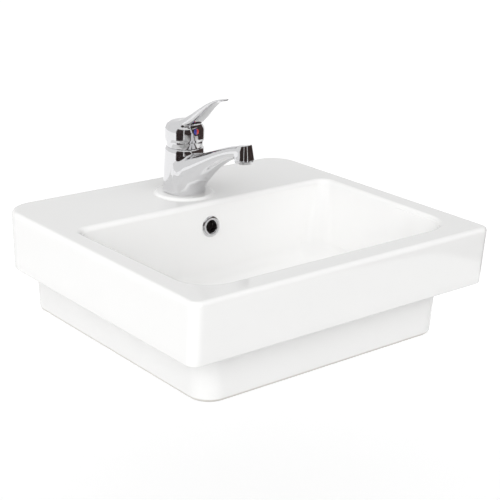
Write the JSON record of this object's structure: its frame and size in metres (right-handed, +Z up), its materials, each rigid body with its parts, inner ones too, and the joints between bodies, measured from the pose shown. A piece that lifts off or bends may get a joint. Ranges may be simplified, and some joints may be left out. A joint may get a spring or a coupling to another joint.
{
  "type": "inset basin",
  "caption": "White glazed inset washbasin with a rectangular bowl, a chrome single-lever mixer, an overflow ring in the back wall and a push waste.",
  "frame": {"origin": "centre of the rim block's plan on the worktop's upper surface, where the ledge of the rim block rests", "axes": "+Z up, -Y towards the user, +X to the user's right"},
  "size_m": [0.4998, 0.4494, 0.362],
  "materials": {
    "glazed_china": "white gloss glaze",
    "chrome": "polished chrome plate",
    "rubber": "black sealing rubber",
    "white_plastic": "natural white acetal",
    "grey_plastic": "grey moulded plastic",
    "disc_ceramic": "lapped ceramic",
    "steel": "zinc-plated steel",
    "brass": "machined brass",
    "indicator": "red and blue halves under a clear gloss"
  },
  "bodies": {
    "base": {"basin": "glazed_china", "overflow_ring": "chrome", "mixer_body": "chrome", "base_gasket": "rubber", "aerator_housing": "chrome", "aerator_insert": "white_plastic", "aerator_washer": "rubber", "cartridge_base": "grey_plastic", "cartridge_body": "white_plastic", "cartridge_seals": "rubber", "fixed_disc": "disc_ceramic", "clamp_nut": "brass", "trim_collar": "chrome", "fixing_stud": "steel", "horseshoe_gasket": "rubber", "horseshoe_plate": "steel", "stud_nut": "brass", "waste_body": "chrome", "flange_seal": "rubber", "click_housing": "white_plastic", "tapered_washer": "rubber", "slip_washer": "white_plastic", "backnut": "brass"},
    "swivel": {"swivel_carrier": "grey_plastic", "pivot_pin": "steel"},
    "lever": {"lever_stalk": "brass", "lever_handle": "chrome", "handle_screw": "steel", "indicator_plug": "indicator"},
    "disc": {"moving_disc": "disc_ceramic"},
    "plug": {"waste_plug": "chrome", "plug_seal": "rubber", "plug_spindle": "brass"}
  },
  "joints": [
    {"name": "handle_turn", "type": "hinge", "parent": "base", "child": "swivel", "pos_m": [0, 0.1374, 0.16], "axis": [0, 0, 1], "range_deg": [-45, 45]},
    {"name": "lever_lift", "type": "hinge", "parent": "swivel", "child": "lever", "pos_m": [0, 0.1374, 0.16], "axis": [-1, 0, 0], "range_deg": [0, 20]},
    {"name": "disc_slide", "type": "slide", "parent": "swivel", "child": "disc", "axis": [0, -1, 0], "range_m": [0, 0.0065]},
    {"name": "plug_push", "type": "slide", "parent": "base", "child": "plug", "axis": [0, 0, 1], "range_m": [0, 0.008]}
  ],
  "couplings": [
    {"joint": "disc_slide", "follows": "lever_lift", "m_per_rad": 0.018078}
  ]
}
